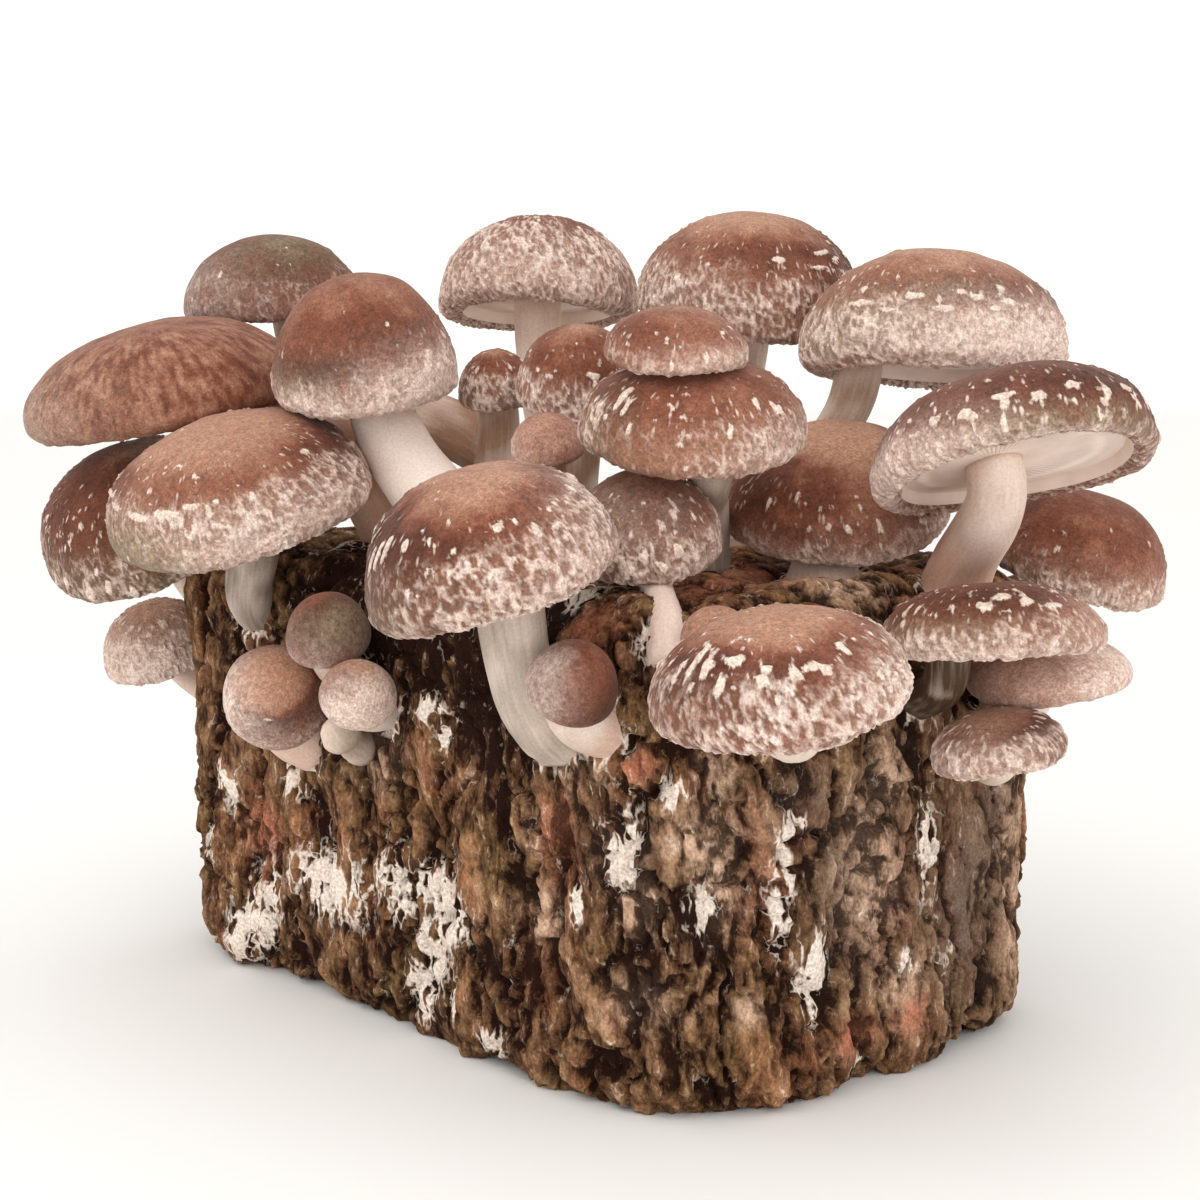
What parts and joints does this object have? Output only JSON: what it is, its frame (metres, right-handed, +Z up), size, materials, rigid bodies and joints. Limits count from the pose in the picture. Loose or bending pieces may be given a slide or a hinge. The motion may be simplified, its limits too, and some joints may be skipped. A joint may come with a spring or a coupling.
{
  "type": "mushroom grow block",
  "caption": "Brown sawdust grow block with rounded corners, and shiitake mushrooms with domed, flecked caps growing from its top and walls.",
  "frame": {"origin": "middle of the block's flat base, which is the resting plane", "axes": "+Z up, +X along the block's length, +Y across it; the picture is taken from the corner at +X and -Y"},
  "size_m": [0.277, 0.2022, 0.1891],
  "materials": {
    "block_skin": "rough, browned and matt",
    "cap_skin": "dry and matt, with pale woolly flecks",
    "stem_flesh": "matt and fibrous"
  },
  "bodies": {
    "root": {"block": "block_skin", "back_left_cap": "cap_skin", "back_left_stem": "stem_flesh", "left_round_cap": "cap_skin", "left_round_stem": "stem_flesh", "far_left_cap": "cap_skin", "far_left_stem": "stem_flesh", "left_big_cap": "cap_skin", "left_big_stem": "stem_flesh", "left_under_cap": "cap_skin", "left_under_stem": "stem_flesh", "left_low_cap": "cap_skin", "left_low_stem": "stem_flesh", "back_mid_cap": "cap_skin", "back_mid_stem": "stem_flesh", "back_right_cap": "cap_skin", "back_right_stem": "stem_flesh", "right_high_cap": "cap_skin", "right_high_stem": "stem_flesh", "right_open_cap": "cap_skin", "right_open_stem": "stem_flesh", "right_side_cap": "cap_skin", "right_side_stem": "stem_flesh", "right_flat_cap": "cap_skin", "right_flat_stem": "stem_flesh", "right_pink_cap": "cap_skin", "right_pink_stem": "stem_flesh", "right_small_cap": "cap_skin", "right_small_stem": "stem_flesh", "mid_right_cap": "cap_skin", "mid_right_stem": "stem_flesh", "mid_cap": "cap_skin", "mid_stem": "stem_flesh", "mid_top_cap": "cap_skin", "mid_top_stem": "stem_flesh", "mid_left_small_cap": "cap_skin", "mid_left_small_stem": "stem_flesh", "mid_left_cap": "cap_skin", "mid_left_stem": "stem_flesh", "mid_tiny_cap": "cap_skin", "mid_tiny_stem": "stem_flesh", "front_big_cap": "cap_skin", "front_big_stem": "stem_flesh", "mid_low_cap": "cap_skin", "mid_low_stem": "stem_flesh", "front_right_cap": "cap_skin", "front_right_stem": "stem_flesh", "corner_tiny_cap": "cap_skin", "corner_tiny_stem": "stem_flesh", "stem_bud_cap": "cap_skin", "stem_bud_stem": "stem_flesh", "left_bud_high_cap": "cap_skin", "left_bud_high_stem": "stem_flesh", "left_bud_side_cap": "cap_skin", "left_bud_side_stem": "stem_flesh", "left_bud_big_cap": "cap_skin", "left_bud_big_stem": "stem_flesh", "left_knob": "cap_skin"}
  },
  "joints": []
}
